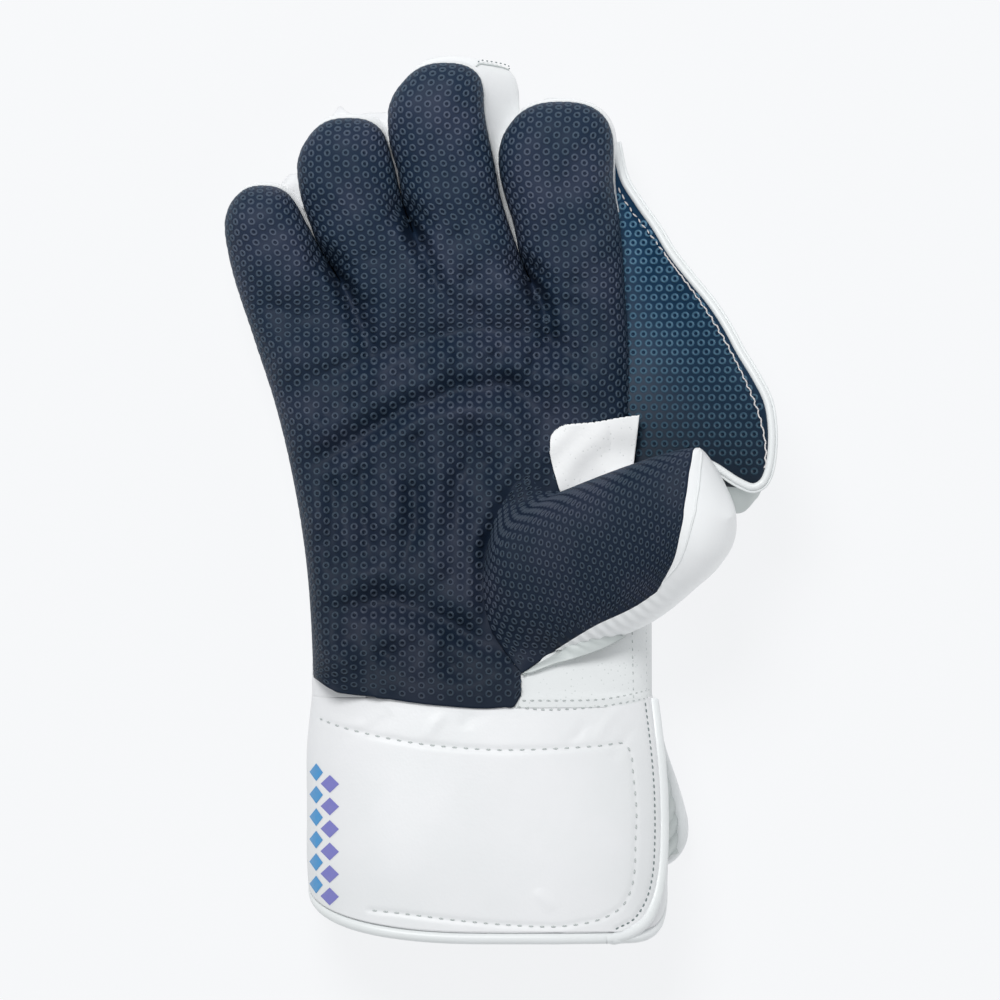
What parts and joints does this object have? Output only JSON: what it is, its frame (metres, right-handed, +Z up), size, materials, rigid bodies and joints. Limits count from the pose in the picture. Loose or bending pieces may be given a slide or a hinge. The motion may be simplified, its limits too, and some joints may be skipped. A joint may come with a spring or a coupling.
{
  "type": "wicketkeeping glove",
  "caption": "Right-hand wicketkeeping glove with dimpled rubber palm, webbed thumb, padded leather back and stiff gauntlet cuff, lying palm up.",
  "frame": {"origin": "middle of the underside of the glove's box, on the surface it lies on", "axes": "+X towards the thumb's side, +Y from the cuff to the fingertips, +Z up out of the palm"},
  "size_m": [0.208, 0.3308, 0.089],
  "materials": {
    "rubber": "matt navy dimpled rubber",
    "web_rubber": "matt blue dimpled rubber",
    "leather": "smooth white leather",
    "suede": "white suede with fine pores",
    "piping": "rolled white leather edge",
    "thread": "white sewing thread",
    "print": "blue printed ink"
  },
  "bodies": {
    "root": {"palm_rubber": "rubber", "crotch_patch": "suede", "wrist_patch": "suede", "hand_back": "leather", "little_wall": "leather", "ring_wall": "leather", "middle_wall": "leather", "index_wall": "leather", "thumb_rubber": "rubber", "thumb_leather": "leather", "web_rubber": "web_rubber", "web_leather": "leather", "web_piping": "piping", "cuff_front": "leather", "cuff_back": "leather", "cuff_front_piping": "piping", "cuff_back_piping": "piping"}
  },
  "joints": []
}
